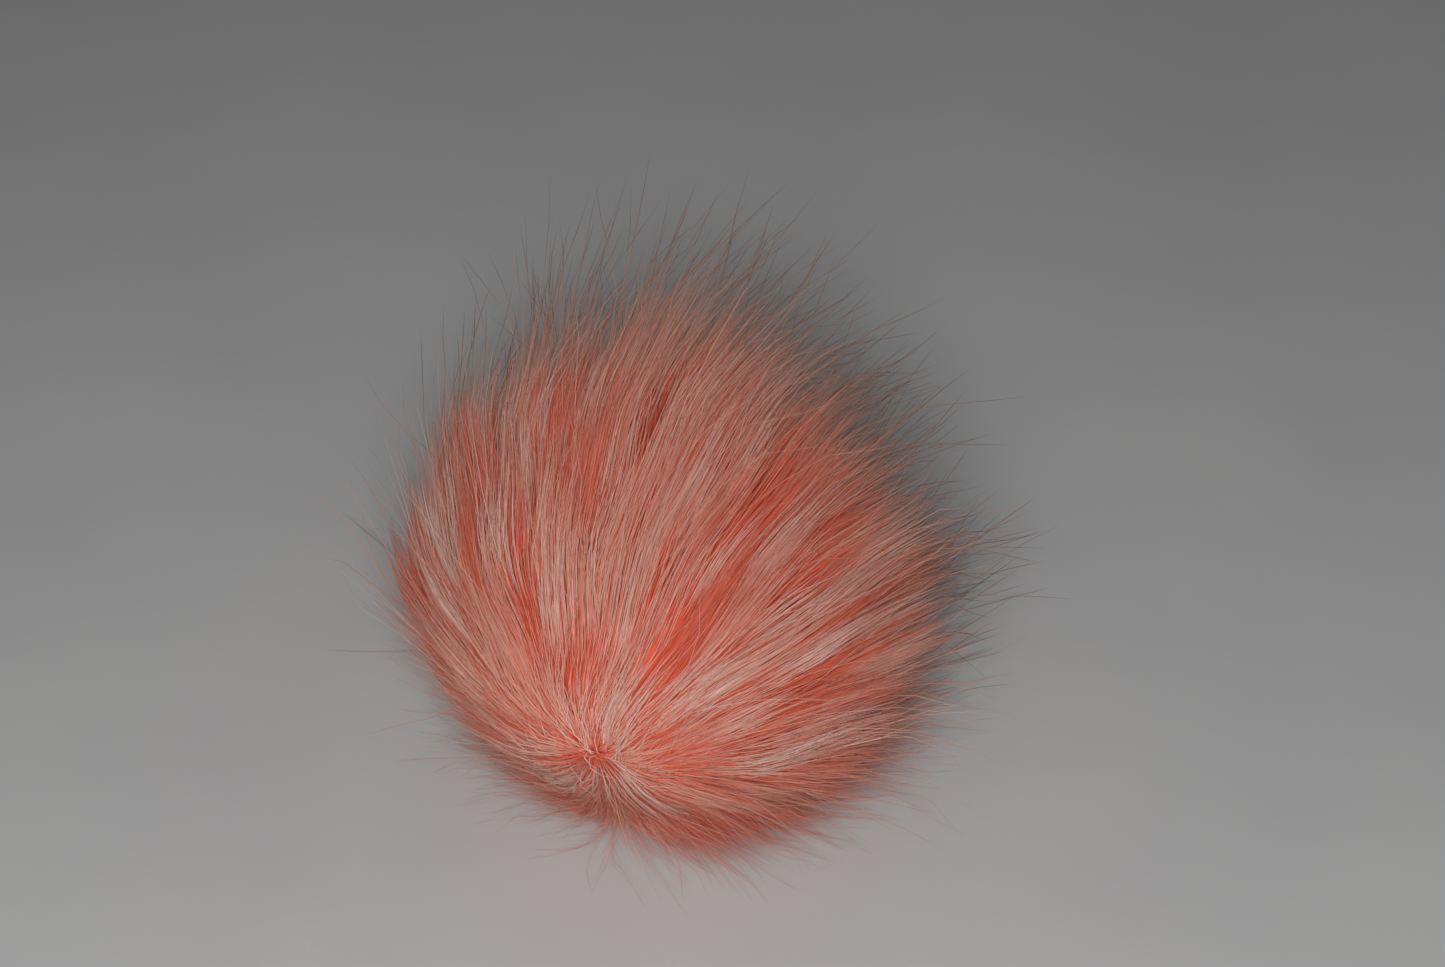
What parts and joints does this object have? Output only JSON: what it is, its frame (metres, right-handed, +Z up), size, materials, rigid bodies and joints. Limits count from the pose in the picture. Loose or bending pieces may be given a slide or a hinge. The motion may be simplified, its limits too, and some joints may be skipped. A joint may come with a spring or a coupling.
{
  "type": "faux fur pom pom",
  "caption": "Long-pile faux fur pom pom: fur cloth gathered into a ball, its locks sweeping away from the gather, lying on its side.",
  "frame": {"origin": "on the surface that the pom pom lies on, in the middle of its flat spot and under the centre of the ball", "axes": "+Z up from that surface, -Y to the front, where the gather faces, +X to the right as seen from the front"},
  "size_m": [0.1611, 0.1445, 0.1162],
  "materials": {
    "fur": "matte"
  },
  "bodies": {
    "root": {"fur_ball": "fur"}
  },
  "joints": []
}
